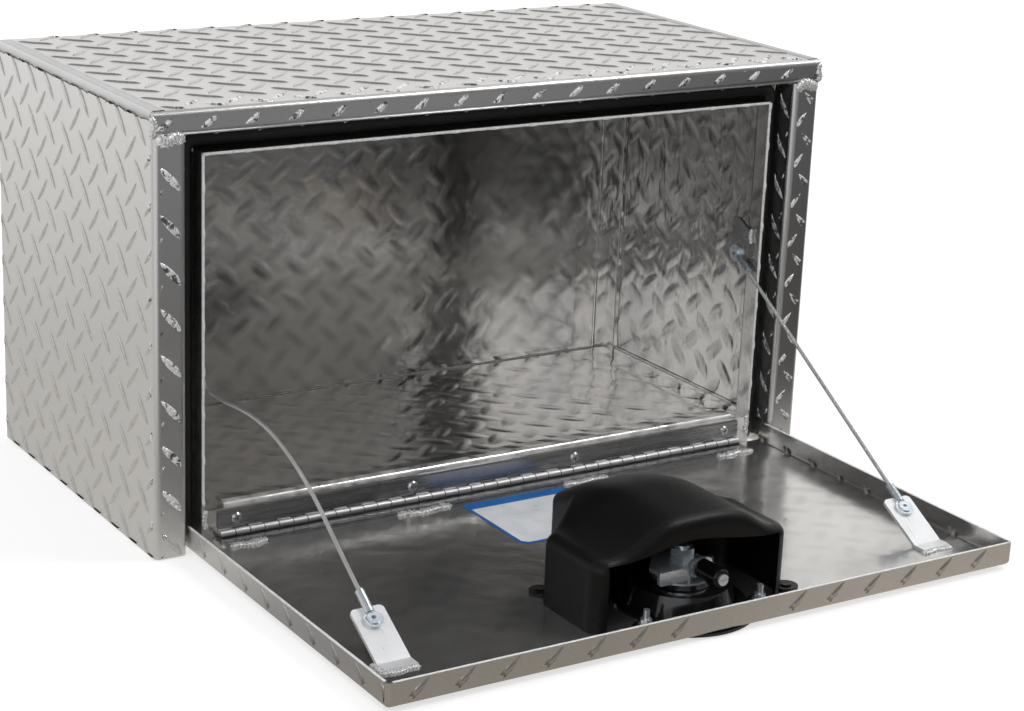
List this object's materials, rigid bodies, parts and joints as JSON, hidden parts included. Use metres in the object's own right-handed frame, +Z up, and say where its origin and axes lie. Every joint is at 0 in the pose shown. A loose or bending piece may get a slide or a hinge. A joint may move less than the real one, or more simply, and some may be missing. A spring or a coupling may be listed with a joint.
{
  "type": "underbody truck tool box",
  "caption": "Underbody tool box in tread plate aluminium with a drop-down door on a continuous hinge, a bulb seal, a guarded folding T-handle latch and two wire rope stays",
  "frame": {"origin": "middle of the case's underside", "axes": "+Z up, +Y from the door to the back, +X to the right seen from the front; the door is open and level"},
  "size_m": [0.622, 0.6317, 0.35],
  "materials": {
    "tread_aluminium": "bright rolled tread plate outside, smooth mill finish inside",
    "rubber": "soft black bulb seal",
    "stainless": "bright stainless hinge and screws",
    "zinc": "bright zinc plate",
    "black_paint": "gloss black",
    "black_plastic": "fine grained black",
    "roller_plastic": "hard smooth black",
    "chrome": "polished",
    "steel_rope": "twisted wire strands"
  },
  "bodies": {
    "case": {"top_panel": "tread_aluminium", "left_side_panel": "tread_aluminium", "right_side_panel": "tread_aluminium", "back_panel": "tread_aluminium", "floor_panel": "tread_aluminium", "door_seal": "rubber", "hinge_case_leaf": "stainless", "hinge_pin": "stainless", "hinge_screws": "stainless", "left_cable_anchor": "zinc", "right_cable_anchor": "zinc", "cable_anchor_rivets": "zinc", "left_cable_case_end": "zinc", "right_cable_case_end": "zinc", "left_cable": "steel_rope", "right_cable": "steel_rope"},
    "door": {"door_pan": "tread_aluminium", "hinge_door_leaf": "stainless", "latch_bowl": "black_paint", "latch_studs": "zinc", "latch_nuts": "zinc", "clamp_ring": "black_paint", "latch_guard": "black_plastic", "guard_rivets": "black_plastic", "left_door_tab": "zinc", "right_door_tab": "zinc", "door_tab_rivets": "zinc", "left_cable_door_end": "zinc", "right_cable_door_end": "zinc"},
    "cam": {"latch_shaft": "zinc", "cam_washer": "zinc", "cam_bracket": "zinc", "cam_nut": "zinc", "roller_pin": "zinc", "handle_pivot": "zinc"},
    "roller": {"cam_roller": "roller_plastic"},
    "handle": {"t_handle": "chrome"},
    "lock": {"lock_cylinder": "chrome"}
  },
  "joints": [
    {"name": "door_hinge", "type": "hinge", "parent": "case", "child": "door", "pos_m": [0, -0.1527, 0.009], "axis": [-1, 0, 0], "range_deg": [0, 90], "deforming": ["left_cable", "right_cable"]},
    {"name": "handle_turn", "type": "hinge", "parent": "door", "child": "cam", "pos_m": [0, -0.4142, 0.01], "axis": [0, 0, 1], "range_deg": [0, 90]},
    {"name": "handle_fold", "type": "hinge", "parent": "cam", "child": "handle", "pos_m": [0, -0.4142, 0.0115], "axis": [-1, 0, 0], "range_deg": [0, 90]},
    {"name": "lock_turn", "type": "hinge", "parent": "handle", "child": "lock", "pos_m": [0, -0.3882, 0.0115], "axis": [0, 0, 1], "range_deg": [0, 90]},
    {"name": "roller_spin", "type": "hinge", "parent": "cam", "child": "roller", "pos_m": [0.0015, -0.4502, 0.0397], "axis": [0, 1, 0], "continuous": true}
  ]
}
